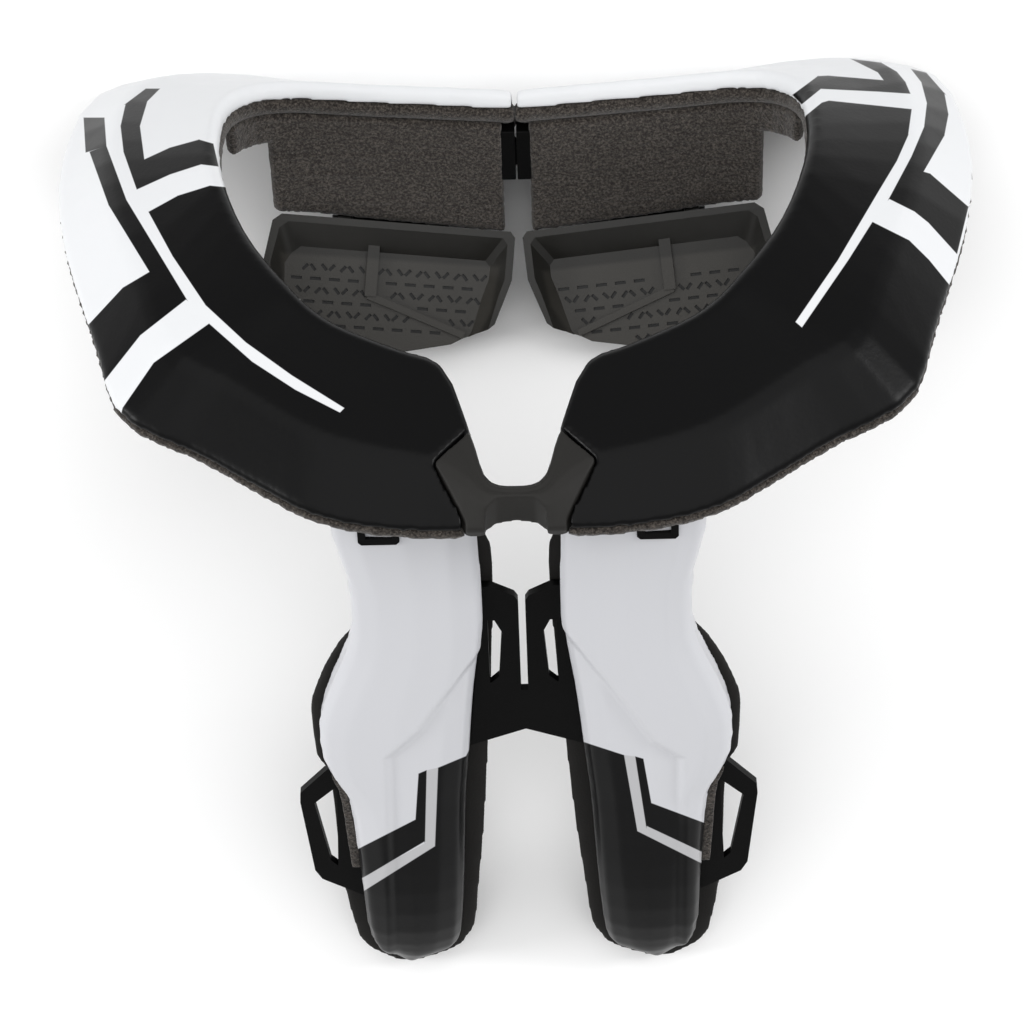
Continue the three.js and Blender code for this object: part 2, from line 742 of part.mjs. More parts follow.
// The link between the wings: two arms with a narrow slot between them, over a solid foot.
function makeLink() {
  const z = (share) => linkTopZ - share * linkHeight;
  const side = (height) => shellSide(height, "inner") - pieceGap;
  const slot = linkSlot / 2;
  const arm = slot + linkArmWidth;
  const right = [
    [slot, z(0.65)],
    [slot, z(0.09)],
    [slot + 1.2, z(0.06)],
    [arm + 3, z(0)],
    ...steps(z(0), z(1), 6).map((height) => [side(height), height]),
    [0, z(0.9)],
  ];
  const outline = [...right, ...right.slice(0, -1).map(([x, height]) => [-x, height]).reverse()];
  const window = [
    [arm, z(0.28)],
    [arm + 0.5 * linkWindow, z(0.21)],
    [arm + linkWindow, z(0.21)],
    [arm + linkWindow, z(0.6)],
    [arm + 0.9 * linkWindow, z(0.6)],
    [arm + 0.3 * linkWindow, z(0.56)],
  ];
  const mirrorWindow = window.map(([x, height]) => [-x, height]).reverse();
  const flat = plate(outline, 0, linkThickness, [window, mirrorWindow]);
  flat.rotateX(-Math.atan(wingRimLean));
  return flat.translate(0, wingRim(0) - linkThickness, 0);
}

// A strap loop: a D-shaped plate beside the shell's outer side.
function makeLoop() {
  const z = (share) => loopTopZ - share * loopHeight;
  const side = (share) => shellSide(z(share), "outer") + 2 * pieceGap;
  const outline = [
    [side(0) + 1, z(0)],
    [0.996 * loopReach, z(0.2)],
    [loopReach, z(0.27)],
    [0.959 * loopReach, z(0.8)],
    [0.93 * loopReach, z(0.87)],
    [side(1) + 1, z(1)],
    ...steps(1, 0, 10).map((share) => [side(share), z(share)]),
  ];
  const window = [
    [0.834 * loopReach, z(0.155)],
    [0.938 * loopReach, z(0.28)],
    [0.884 * loopReach, z(0.726)],
    [0.855 * loopReach, z(0.767)],
  ];
  const flat = plate(outline, 0, loopThickness, [window]);
  flat.rotateX(-Math.atan(wingRimLean));
  return mirrored(flat.translate(0, wingRim(0) - loopThickness, 0));
}

// The narrow felt strip that lines the loop where it meets the shell.
function makeLoopFelt() {
  const z = (share) => loopTopZ - share * loopHeight;
  const side = (share) => shellSide(z(share), "outer") + 2 * pieceGap;
  const width = (share) => 2.4 + 0.8 * Math.sin(Math.PI * share);
  const shares = steps(0.05, 0.75, 7);
  const near = shares.map((s) => [side(s), z(s)]);
  const far = shares.map((s) => [side(s) + width(s), z(s)]);
  const flat = plate([...near, ...far.reverse()], 0, 2);
  flat.rotateX(-Math.atan(wingRimLean));
  const front = wingRim(0) - loopThickness - 2 - pieceGap;
  return mirrored(flat.translate(0, front, 0));
}

// A clip that holds the wing's shell under the collar: a small frame with a window.
function makeClip() {
  const top = wingTopZ;
  const outline = [
    [clipX - clipWidth / 2, top],
    [clipX - clipWidth / 2, clipBottomZ + 1],
    [clipX - clipWidth / 2 + 1, clipBottomZ],
    [clipX + clipWidth / 2 - 1, clipBottomZ],
    [clipX + clipWidth / 2, clipBottomZ + 1],
    [clipX + clipWidth / 2, top],
  ];
  const [left, right] = [clipX - clipWidth / 2 + clipBar, clipX + clipWidth / 2 - clipBar];
  const window = [
    [left, clipBottomZ + clipBar],
    [right, clipBottomZ + clipBar],
    [right, clipBottomZ + clipWindow],
    [left, clipBottomZ + clipWindow],
  ];
  const flat = plate(outline, 0, clipThickness, [window]);
  flat.rotateX(-Math.atan(wingRimLean));
  const face = wingRim(0) - wingShellDepth - 0.8 - pieceGap;
  return carve(mirrored(flat.translate(0, face - clipThickness, 0)), leftKeepOut);
}

const worn = new THREE.Group();

function add(name, geometry, material, holder = worn) {
  const mesh = new THREE.Mesh(geometry, material);
  mesh.name = name;
  holder.add(mesh);
}

function addPair(name, leftGeometry, material) {
  add(`${name}_left`, leftGeometry, material);
  add(`${name}_right`, mirrored(leftGeometry), material);
}

addPair("collar_table", leftTable, tableSkin);
addPair("collar_pad", leftPad, greyFelt);
add("nape_bridge", makeBridge(), bridgeRubber);
addPair("front_strut", makeStrut(), blackPlastic);
addPair("front_felt", makeFelt(), greyFelt);
const clasps = makeClasps();
add("clasp_left", clasps.left, blackPlastic);
add("clasp_right", clasps.right, blackPlastic);
addPair("wing_shell", leftShell, shellSkin);
addPair("wing_pad", leftWingPad, blackFoam);
add("wing_link", makeLink(), blackPlastic);
addPair("strap_loop", makeLoop(), blackPlastic);
addPair("loop_felt", makeLoopFelt(), greyFelt);
addPair("wing_clip", makeClip(), blackPlastic);

// Chest pads swing on pins under the front struts.
const tray = makeTray();
for (const [name, side] of [["left", -1], ["right", 1]]) {
  const hinge = onHinge(new THREE.Group(), side);
  worn.add(hinge);
  add(`hinge_pin_${name}`, makePin(), darkMetal, hinge);
  const swing = new THREE.Group();
  swing.rotation.x = -trayTilt;
  hinge.add(swing);
  add(`chest_pad_${name}`, side < 0 ? tray : mirrored(tray), blackFoam, swing);
}

// Set down, the brace leans forward until the collar's front edge and the wings' tips both touch.
function cornersOf(object) {
  const corners = [];
  object.updateMatrixWorld(true);
  object.traverse((mesh) => {
    if (!mesh.isMesh) return;
    const p = mesh.geometry.getAttribute("position");
    for (let i = 0; i < p.count; i++) {
      corners.push(new THREE.Vector3().fromBufferAttribute(p, i).applyMatrix4(mesh.matrixWorld));
    }
  });
  return corners;
}

function restingLean(corners) {
  const middle = collarDepth / 2;
  let lean = 0;
  for (let pass = 0; pass < 20; pass++) {
    const height = (p) => p.z * Math.cos(lean) - p.y * Math.sin(lean);
    const reach = (p) => p.y * Math.cos(lean) + p.z * Math.sin(lean);
    const lowest = (side) => side.reduce((a, b) => (height(b) < height(a) ? b : a));
    const front = lowest(corners.filter((p) => p.y > middle));
    const rear = lowest(corners.filter((p) => p.y <= middle));
    lean += Math.atan2(height(front) - height(rear), reach(front) - reach(rear));
  }
  return lean;
}

worn.rotation.x = -restingLean(cornersOf(worn));
const standing = new THREE.Box3().setFromPoints(cornersOf(worn));
const centre = standing.getCenter(new THREE.Vector3());
worn.position.set(-centre.x, -centre.y, -standing.min.z);

const neckBrace = new THREE.Group();
neckBrace.add(worn);
export default neckBrace;
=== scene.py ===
"""A motocross neck brace, dressed on its fixed frame: a split collar on felt pads, a rubber bridge at
the nape, hinged chest pads in front, and padded wings joined by a link down the back. Metres, +Z up."""
import math

import bmesh
import bpy
import numpy as np
from mathutils import Matrix, Vector


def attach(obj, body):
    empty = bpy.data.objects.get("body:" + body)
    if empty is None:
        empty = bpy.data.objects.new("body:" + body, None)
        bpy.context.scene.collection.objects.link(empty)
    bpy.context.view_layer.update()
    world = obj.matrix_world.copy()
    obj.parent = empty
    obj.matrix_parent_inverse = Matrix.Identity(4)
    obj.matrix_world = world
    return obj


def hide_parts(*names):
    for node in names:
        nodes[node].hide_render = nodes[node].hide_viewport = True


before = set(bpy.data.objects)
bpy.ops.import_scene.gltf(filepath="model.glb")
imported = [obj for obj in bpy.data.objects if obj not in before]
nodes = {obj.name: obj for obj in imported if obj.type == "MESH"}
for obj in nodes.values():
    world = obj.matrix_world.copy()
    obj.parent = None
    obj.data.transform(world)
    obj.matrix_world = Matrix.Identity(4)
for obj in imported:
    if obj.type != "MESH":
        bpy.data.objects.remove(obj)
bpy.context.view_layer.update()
SIDES = ("left", "right")

# The view from behind and above. The brace leans forward on the floor by its resting lean, so a view
# 42 degrees above the worn brace looks almost straight down on the one that rests. The same eye point
# serves as the stencil from which the collar's and the wings' colour areas are laid out.
RESTING_LEAN = math.radians(-44.09)
RESTING_PLACE = np.array([0.0, -0.00218, 0.19762])
EYE_RISE, EYE_TURN, EYE_ROLL = map(math.radians, (41.98, 1.40, -2.21))
EYE_DISTANCE = 1.25
EYE_TARGET = np.array([0.0, 0.060, -0.060])
PICTURE = 1024
FOCAL_PIXELS = 3901
CENTRE_PIXEL = (519.4, 493.1)


def turned(v):
    """A direction of the worn brace, turned about X by the resting lean."""
    c, s = math.cos(RESTING_LEAN), math.sin(RESTING_LEAN)
    return np.array([v[0], c * v[1] - s * v[2], s * v[1] + c * v[2]])


back = np.array([
    math.sin(EYE_TURN) * math.cos(EYE_RISE),
    -math.cos(EYE_TURN) * math.cos(EYE_RISE),
    math.sin(EYE_RISE),
])
level = np.array([math.cos(EYE_TURN), math.sin(EYE_TURN), 0.0])
upright = np.cross(back, level)
eye_right = turned(math.cos(EYE_ROLL) * level + math.sin(EYE_ROLL) * upright)
eye_up = turned(math.cos(EYE_ROLL) * upright - math.sin(EYE_ROLL) * level)
eye_back = turned(back)
eye = turned(EYE_TARGET + back * EYE_DISTANCE) + RESTING_PLACE

camera_data = bpy.data.cameras.new("camera")
camera_data.sensor_width = 36
camera_data.lens = FOCAL_PIXELS / PICTURE * camera_data.sensor_width
camera_data.shift_x = (PICTURE / 2 - CENTRE_PIXEL[0]) / PICTURE
camera_data.shift_y = (CENTRE_PIXEL[1] - PICTURE / 2) / PICTURE
camera_data.clip_start, camera_data.clip_end = 0.05, 20
camera = bpy.data.objects.new("camera", camera_data)
bpy.context.scene.collection.objects.link(camera)
pose = np.eye(4)
pose[:3, 0], pose[:3, 1], pose[:3, 2], pose[:3, 3] = eye_right, eye_up, eye_back, eye
camera.matrix_world = Matrix(pose.tolist())
bpy.context.scene.camera = camera


# Shader sums are written as Python expressions on sockets, one Math node for each operation.
class Sum:
    def __init__(self, make, socket):
        self.make, self.socket = make, socket

    def _math(self, operation, *values):
        return self.make.node("ShaderNodeMath", {"operation": operation}, list(values))

    def __add__(self, other):
        return self._math("ADD", self, other)

    def __sub__(self, other):
        return self._math("SUBTRACT", self, other)

    def __rsub__(self, other):
        return self._math("SUBTRACT", other, self)

    def __mul__(self, other):
        return self._math("MULTIPLY", self, other)

    def __truediv__(self, other):
        return self._math("DIVIDE", self, other)

    __radd__ = __add__
    __rmul__ = __mul__

    def least(self, other):
        return self._math("MINIMUM", self, other)

    def most(self, other):
        return self._math("MAXIMUM", self, other)

    def step(self, low, high):
        """0 below low and 1 above high, smooth between them."""
        settings = {"interpolation_type": "SMOOTHSTEP"}
        values = {"Value": self, "From Min": low, "From Max": high}
        return self.make.node("ShaderNodeMapRange", settings, values)


# One finish: a material with its shader, whose other nodes all come from the node method.
class Finish:
    def __init__(self, name, roughness=0.5, shine=0.3, metallic=0.0, coat=0.0, colour=(0.02, 0.02, 0.02)):
        self.material = bpy.data.materials.new(name)
        self.material.use_nodes = True
        self.tree = self.material.node_tree
        self.shader = self.tree.nodes["Principled BSDF"]
        for key, value in (("Roughness", roughness), ("Metallic", metallic), ("Coat Weight", coat)):
            self.shader.inputs[key].default_value = value
        self.shader.inputs["Coat Roughness"].default_value = 0.12
        self.shader.inputs["Specular IOR Level"].default_value = shine
        self.shader.inputs["Base Color"].default_value = (*colour, 1)
        self.place = self.node("ShaderNodeTexCoord", {}, {}, "Object")

    def node(self, kind, settings, values, output=None):
        made = self.tree.nodes.new(kind)
        for key, value in settings.items():
            setattr(made, key, value)
        pairs = enumerate(values) if isinstance(values, list) else values.items()
        for key, value in pairs:
            if isinstance(value, Sum):
                self.tree.links.new(value.socket, made.inputs[key])
            else:
                made.inputs[key].default_value = value
        return Sum(self, made.outputs[output] if output else made.outputs[0])

    def put(self, key, value):
        self.tree.links.new(value.socket, self.shader.inputs[key])

    def dot(self, direction, origin=(0, 0, 0)):
        """Distance along a direction from an origin."""
        moved = self.node("ShaderNodeVectorMath", {"operation": "SUBTRACT"}, [self.place, tuple(origin)])
        values = [moved, tuple(direction)]
        return self.node("ShaderNodeVectorMath", {"operation": "DOT_PRODUCT"}, values, "Value")

    def noise(self, scale, detail=2.0, roughness=0.5):
        values = {"Vector": self.place, "Scale": scale, "Detail": detail, "Roughness": roughness}
        return self.node("ShaderNodeTexNoise", {}, values, "Fac")

    def mix(self, factor, first, second):
        """A colour between two colours."""
        made = self.tree.nodes.new("ShaderNodeMix")
        made.data_type = "RGBA"
        for socket, value in ((made.inputs[0], factor), (made.inputs[6], first), (made.inputs[7], second)):
            if isinstance(value, Sum):
                self.tree.links.new(value.socket, socket)
            else:
                socket.default_value = (*value, 1) if isinstance(value, tuple) else value
        return Sum(self, made.outputs[2])

    def bump(self, height, distance, strength=1.0):
        values = {"Height": height, "Distance": distance, "Strength": strength}
        self.put("Normal", self.node("ShaderNodeBump", {}, values, "Normal"))

    def stencil(self):
        """The place on the stencil, in its pixels: across and down."""
        depth = self.dot(-eye_back, eye)
        across = self.dot(eye_right, eye) / depth * FOCAL_PIXELS + CENTRE_PIXEL[0]
        down = CENTRE_PIXEL[1] - self.dot(eye_up, eye) / depth * FOCAL_PIXELS
        return across, down


def area_distance(across, down, areas, least=Sum.least, most=Sum.most):
    """Signed distance into the nearest of the convex areas: the least of the distances to its edges."""
    found = None
    for area in areas:
        corners = np.array(area, float)
        following = np.roll(corners, -1, 0)
        turning = np.sum(corners[:, 0] * following[:, 1] - following[:, 0] * corners[:, 1])
        inside = None
        for (x0, y0), (x1, y1) in zip(corners, following):
            length = math.hypot(x1 - x0, y1 - y0) * math.copysign(1, turning)
            a, b = (y0 - y1) / length, (x1 - x0) / length
            distance = across * a + down * b - (a * x0 + b * y0)
            inside = distance if inside is None else least(inside, distance)
        found = inside if found is None else most(found, inside)
    return found


def area_mask(across, down, areas, soft=0.9):
    """1 inside any of the areas and 0 outside, with a soft edge."""
    return area_distance(across, down, areas).step(-soft, 0)


def fine_wear(finish, base, amount=0.05):
    """Roughness that varies in faint broad patches and fine specks."""
    finish.put("Roughness", finish.noise(38) * amount + finish.noise(900, 1) * amount + (base - amount))


def merged_copy(name, source, angle=32, bevel=0.0004):
    """A node's solid with its corners joined, smooth but for edges past an angle, which are rounded."""
    mesh = nodes[source].data.copy()
    mesh.name = name
    mesh.materials.clear()
    body = bmesh.new()
    body.from_mesh(mesh)
    bmesh.ops.remove_doubles(body, verts=body.verts, dist=2e-6)
    bmesh.ops.dissolve_degenerate(body, edges=body.edges, dist=1e-6)
    for face in body.faces:
        face.smooth = True
    for edge in body.edges:
        edge.smooth = edge.calc_face_angle(0) < math.radians(angle)
    body.to_mesh(mesh)
    body.free()
    piece = bpy.data.objects.new(name, mesh)
    bpy.context.scene.collection.objects.link(piece)
    if bevel:
        edges = piece.modifiers.new("edges", "BEVEL")
        edges.width, edges.segments = bevel, 2
        edges.limit_method, edges.angle_limit = "ANGLE", math.radians(angle)
        edges.harden_normals = True
    return piece


def softened(name, source, voxel, rounds):
    """A node's solid rebuilt on a fine grid and relaxed, so that its edges are round like foam's."""
    piece = merged_copy(name, source, bevel=0)
    grid = piece.modifiers.new("grid", "REMESH")
    grid.mode, grid.voxel_size, grid.use_smooth_shade = "VOXEL", voxel, True
    relax = piece.modifiers.new("relax", "SMOOTH")
    relax.factor, relax.iterations = 0.5, rounds
    bpy.context.view_layer.update()
    made = bpy.data.meshes.new_from_object(piece.evaluated_get(bpy.context.evaluated_depsgraph_get()))
    piece.modifiers.clear()
    piece.data = made
    return piece


def seat(piece, body, slot, finish, *sources):
    piece.data.materials.clear()
    piece.data.materials.append(finish.material)
    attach(piece, body)
    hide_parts(*sources)


# The collar's two halves: injection-moulded satin plastic, black at the nape and white in front, with
# the colour areas set in as inlaid film. Areas are outlined on the stencil, in its pixels.
BLACK = (0.0018, 0.0018, 0.0020)
WHITE = (0.70, 0.71, 0.725)
COLLAR_BLACK = {
    "left": [
        [(150, 272), (123, 288), (140, 335), (186, 299)],
        [(123, 288), (85, 329), (103, 382), (140, 335)],
        [(84, 118), (104, 118), (106, 146), (86, 152)],
        [(90, 152), (106, 146), (126, 200), (109, 205)],
        [(109, 205), (126, 200), (186, 299), (150, 272)],
        [(146, 89), (159, 89), (147, 101), (126, 104)],
        [(126, 104), (147, 101), (139.5, 126), (121, 126)],
        [(121, 126), (139.5, 126), (144, 160), (124, 152)],
        [(124, 152), (144, 160), (170, 174), (137, 189)],
        [(144, 160), (170, 148), (199, 140), (201, 164), (170, 174)],
        [(199, 140), (213, 144), (218, 166), (201, 164)],
        [(149, 212), (178, 196), (260, 300), (206, 305), (173, 256)],
        [(178, 196), (210, 186), (240, 189), (300, 300), (260, 300)],
        [(206, 305), (260, 300), (300, 300), (292, 375), (246, 342)],
        [(292, 375), (300, 300), (420, 310), (540, 370), (345, 408)],
        [(123, 408), (154, 363), (209, 324), (252, 362), (250, 530), (105, 480)],
        [(252, 362), (295, 390), (295, 560), (250, 530)],
        [(295, 390), (340, 413), (340, 570), (295, 560)],
        [(340, 413), (345, 408), (540, 370), (540, 570), (340, 570)],
    ],
    "right": [
        [(911.9, 69.5), (926, 73), (944, 93.3), (921.7, 82)],
        [(921.7, 82), (944, 93.3), (927.3, 103)],
        [(927.3, 103), (944, 93.3), (948, 114.4), (944, 135.4), (924.5, 127)],
        [(924.5, 127), (944, 135.4), (923, 171.9), (911.9, 156.5)],
        [(911.9, 156.5), (923, 171.9), (889.4, 198.6)],
        [(889.4, 198.6), (923, 171.9), (930, 174), (914.7, 211.2)],
        [(914.7, 211.2), (930, 174), (968, 207), (928.7, 222.4)],
        [(928.7, 222.4), (968, 207), (956.8, 253.3)],
        [(793, 95), (818, 76.5), (820.7, 88.4), (801.7, 103.8)],
        [(818, 76.5), (828, 76), (884.5, 80.7), (878, 91.2), (820.7, 88.4)],
        [(884.5, 80.7), (904.9, 82), (909.8, 93.3), (878, 91.2)],
        [(853, 59.6), (881, 63), (878, 72)],
        [(881, 63), (896.5, 72), (904.9, 82), (884.5, 80.7), (878, 72)],
        [(806, 116), (822, 103), (829, 101), (911.2, 109.5), (907.7, 135.4), (780, 200)],
        [(907.7, 135.4), (896.5, 160.7), (878, 191.5), (740, 260), (780, 200)],
        [(878, 191.5), (837.5, 260), (795, 322), (540, 470), (540, 340), (740, 240)],
        [(872.6, 222.4), (909, 240.6), (928.7, 260), (949, 285), (940, 430), (848.8, 260)],
        [(848.8, 260), (940, 430), (802, 328)],
        [(795, 322), (802, 328), (800, 560), (500, 580), (500, 470)],
        [(802, 328), (940, 430), (800, 560)],
    ],
}
for side in SIDES:
    film = Finish(f"collar_film_{side}", 0.3, shine=0.12)
    across, down = film.stencil()
    black = area_mask(across, down, COLLAR_BLACK[side])
    film.put("Base Color", film.mix(black, WHITE, BLACK))
    fine_wear(film, 0.32)
    film.bump(film.noise(700, 3) + film.noise(60) * 3, 0.00003)
    table = softened(f"collar_shell_{side}", f"collar_table_{side}", 0.001, 8)
    seat(table, "brace", "table_plastic", film, f"collar_table_{side}")


# The felt: dark grey fibres with paler specks, over the foam under the collar, as the curtain inside
# its front, and as the strip on each strap loop. The fibres stand up a fraction of a millimetre.
def felt_finish(name, dark=(0.013, 0.0105, 0.009), pale=(0.15, 0.13, 0.112)):
    felt = Finish(name, 0.95, shine=0.1)
    specks = felt.noise(1150, 5, 0.75).step(0.38, 0.8)
    felt.put("Base Color", felt.mix(specks, dark, pale))
    felt.bump(felt.noise(1100, 4, 0.7) + felt.noise(300) * 0.6, 0.0005)
    felt.shader.inputs["Sheen Weight"].default_value = 0.25
    return felt


def fluffed(piece, height, scale, proud=0.0):
    """Moves each point along its normal by a product of sines of its place, so the felt is never flat. A
    pad also stands proud of its solid, by an amount that falls to nothing on what faces up when worn."""
    mesh = piece.data
    place = np.empty(len(mesh.vertices) * 3, np.float32)
    normal = np.empty(len(mesh.vertices) * 3, np.float32)
    mesh.vertices.foreach_get("co", place)
    mesh.vertices.foreach_get("normal", normal)
    x, y, z = place.reshape(-1, 3).T * scale
    wave = np.sin(x + 1.7 * np.sin(y)) * np.sin(y * 1.3 + 2.1 * np.sin(z)) * np.sin(z * 1.1 + x)
    faces_up = np.clip(normal.reshape(-1, 3) @ turned((0, 0, 1)), 0, 1)
    push = wave * height + proud * (1 - faces_up)
    mesh.vertices.foreach_set("co", (place + normal * np.repeat(push, 3)).astype(np.float32))
    mesh.update()


grey_felt = felt_finish("grey_felt")
for side in SIDES:
    cover = softened(f"collar_felt_{side}", f"collar_pad_{side}", 0.0014, 3)
    fluffed(cover, 0.00012, 900, proud=0.0013)
    seat(cover, "brace", "collar_felt", grey_felt, f"collar_pad_{side}")
    curtain = softened(f"curtain_{side}", f"front_felt_{side}", 0.0007, 3)
    fluffed(curtain, 0.00015, 700, proud=0.0009)
    seat(curtain, "brace", "front_felt", grey_felt, f"front_felt_{side}")
    strip = softened(f"loop_strip_{side}", f"loop_felt_{side}", 0.0004, 3)
    fluffed(strip, 0.0001, 900)
    seat(strip, "brace", "loop_felt", grey_felt, f"loop_felt_{side}")

# The nape bridge: dark grey rubber, moulded in one piece and matte, with a fine spark-eroded grain. Its
# arms sit between the ends of the collar's halves; on the real brace they let the halves open a little,
# but here all three ride on one body.
rubber = Finish("bridge_rubber", 0.55, shine=0.2)
rubber.put("Base Color", rubber.mix(rubber.noise(45, 3), (0.012, 0.0115, 0.0105), (0.018, 0.017, 0.0155)))
fine_wear(rubber, 0.55, 0.06)
rubber.bump(rubber.noise(2200, 2), 0.00005)
bridge = softened("rubber_bridge", "nape_bridge", 0.0005, 6)
seat(bridge, "brace", "bridge_rubber", rubber, "nape_bridge")

# Struts, clasps, clips, loops and the link: satin black nylon, each moulded in one piece with rounded
# edges and a faint grain. The struts and clasps sit under the front, the rest behind.
nylon = Finish("black_nylon", 0.42, shine=0.07)
nylon.put("Base Color", nylon.mix(nylon.noise(30, 3), (0.0015, 0.0015, 0.0015), (0.003, 0.003, 0.003)))
fine_wear(nylon, 0.42, 0.07)
nylon.bump(nylon.noise(1800, 2), 0.00004)
NYLON_PIECES = [("front_strut", "strut_plastic"), ("clasp", "clasp_plastic")]
NYLON_PIECES += [("strap_loop", "loop_plastic"), ("wing_clip", "clip_plastic")]
for side in SIDES:
    for kind, slot in NYLON_PIECES:
        moulding = merged_copy(f"{kind}_moulding_{side}", f"{kind}_{side}", 32, 0.0005)
        seat(moulding, "brace", slot, nylon, f"{kind}_{side}")
link = merged_copy("link_moulding", "wing_link", 32, 0.0006)
seat(link, "brace", "link_plastic", nylon, "wing_link")

# Hinge pins: plain turned steel, one through the strut above each chest pad. They are all but hidden
# under the front, so they have no more than a fine turning grain.
steel = Finish("pin_steel", 0.35, metallic=1.0)
steel.put("Base Color", steel.mix(steel.noise(200, 2), (0.25, 0.25, 0.26), (0.36, 0.36, 0.37)))
steel.bump(steel.noise(2500, 1), 0.00002)
for side in SIDES:
    pin = merged_copy(f"pin_{side}", f"hinge_pin_{side}", 32, 0.0003)
    seat(pin, "brace", "pin_metal", steel, f"hinge_pin_{side}")

# Chest pads: dark satin trays. Their floor, outlined on the stencil, has rows of small moulded grooves,
# each cut from the tray's own solid.
TRAY_FLOOR = {
    "left": [(284, 256), (496, 270), (488, 310), (474, 338), (390, 352), (290, 320)],
    "right": [(546, 274), (752, 250), (745, 310), (650, 348), (575, 337), (554, 305)],
}
TRAY_SLOPE = {"left": math.radians(4.0), "right": math.radians(-6.5)}
GROOVE_ROW, GROOVE_PITCH, FLOOR_MARGIN = 11.5, 19.0, 5.0
GROOVE_WIDTH, GROOVE_DEPTH = 0.0011, 0.0009
FLAT_WITHIN = 0.0003
SHARP_PAST = math.radians(46)
DASH = [((-5.5, 0), (5.5, 0))]
CHEVRON = [((-6.5, -3.2), (-1.3, 2.6)), ((1.3, 2.6), (6.5, -3.2))]


def floor_marks(area, slope):
    """Ends of the grooves on the stencil: rows of dashes between rows of chevrons that point both ways."""
    marks = []
    turn = np.array([[math.cos(slope), math.sin(slope)], [-math.sin(slope), math.cos(slope)]])
    middle = np.mean(area, 0)
    for row in range(-6, 7):
        for cell in range(-8, 9):
            offset = np.array([(cell + row * 0.37) * GROOVE_PITCH, row * GROOVE_ROW])
            lines = CHEVRON if row % 2 else DASH
            flip = np.array([1, 1 if cell % 2 else -1])
            ends = [[middle + (offset + np.array(end) * flip) @ turn for end in line] for line in lines]
            flat = np.array(ends).reshape(-1, 2)
            room = area_distance(flat[:, 0], flat[:, 1], [area], np.minimum, np.maximum)
            if room.min() > FLOOR_MARGIN:
                marks += ends
    return marks


def seen_from_eye(piece, pixel):
    """Where a pixel of the stencil falls on a piece, and the surface's normal there."""
    across, down = (pixel - np.array(CENTRE_PIXEL)) / FOCAL_PIXELS
    ray = Vector(eye_right * across - eye_up * down - eye_back)
    hit, point, normal, _ = piece.ray_cast(Vector(eye), ray)
    return (np.array(point), np.array(normal)) if hit else None


def carve_grooves(piece, marks):
    """Cuts a narrow box along each mark out of the piece, where both its ends lie on the flat floor, and
    gives the floor's normal and a point in its plane."""
    found = [(seen_from_eye(piece, start), seen_from_eye(piece, stop)) for start, stop in marks]
    found = [pair for pair in found if pair[0] and pair[1]]
    up = np.median([start[1] for start, _ in found], 0)
    up = up / np.linalg.norm(up)
    level = np.median([start[0] @ up for start, _ in found])
    corners, faces = [], []
    for (start, _), (stop, _) in found:
        if max(abs(start @ up - level), abs(stop @ up - level)) > FLAT_WITHIN:
            continue
        aside = np.cross(up, stop - start)
        aside *= GROOVE_WIDTH / 2 / np.linalg.norm(aside)
        base = len(corners)
        for height in (-GROOVE_DEPTH, GROOVE_DEPTH):
            corners += [end + side * aside + up * height for end, side in
                        ((start, -1), (stop, -1), (stop, 1), (start, 1))]
        for quad in ((0, 1, 2, 3), (7, 6, 5, 4), (0, 4, 5, 1), (1, 5, 6, 2), (2, 6, 7, 3), (3, 7, 4, 0)):
            faces.append([base + corner for corner in quad])
    mesh = bpy.data.meshes.new("grooves")
    mesh.from_pydata([corner.tolist() for corner in corners], [], faces)
    body = bmesh.new()
    body.from_mesh(mesh)
    bmesh.ops.recalc_face_normals(body, faces=body.faces)
    body.to_mesh(mesh)
    body.free()
    cutter = bpy.data.objects.new("grooves", mesh)
    bpy.context.scene.collection.objects.link(cutter)
    cut = piece.modifiers.new("grooves", "BOOLEAN")
    cut.operation, cut.solver, cut.object = "DIFFERENCE", "EXACT", cutter
    bpy.context.view_layer.update()
    made = bpy.data.meshes.new_from_object(piece.evaluated_get(bpy.context.evaluated_depsgraph_get()))
    piece.modifiers.clear()
    piece.data = made
    bpy.data.objects.remove(cutter)
    for old in [item for item in made.attributes if item.name == "custom_normal"]:
        made.attributes.remove(old)
    body = bmesh.new()
    body.from_mesh(made)
    for edge in body.edges:
        edge.smooth = edge.calc_face_angle(0) < SHARP_PAST
    body.to_mesh(made)
    body.free()
    weigh = piece.modifiers.new("flat", "WEIGHTED_NORMAL")
    weigh.keep_sharp = True
    return up, up * level


for side in SIDES:
    tray = merged_copy(f"chest_moulding_{side}", f"chest_pad_{side}", 32, 0.0006)
    bpy.context.view_layer.update()
    floor_up, floor_point = carve_grooves(tray, floor_marks(TRAY_FLOOR[side], TRAY_SLOPE[side]))
    tray_black = Finish(f"chest_tray_{side}", 0.36, shine=0.35)
    across, down = tray_black.stencil()
    on_floor = area_mask(across, down, [TRAY_FLOOR[side]], 6)
    paler = tray_black.noise(50, 3) * 0.3 + on_floor * 0.7
    moulded = tray_black.mix(paler, (0.010, 0.0095, 0.008), (0.038, 0.0355, 0.031))
    # Painted shade: inside the grooves, below the floor's plane, the colour is darkened to near black.
    groove_shade = (0 - tray_black.dot(floor_up, floor_point)).step(0.0001, 0.0004) * on_floor
    tray_black.put("Base Color", tray_black.mix(groove_shade, moulded, (0.004, 0.004, 0.004)))
    fine_wear(tray_black, 0.38, 0.07)
    tray_black.bump(tray_black.noise(1800, 2), 0.00004)
    seat(tray, f"{side}_pad", "chest_plastic", tray_black, f"chest_pad_{side}")

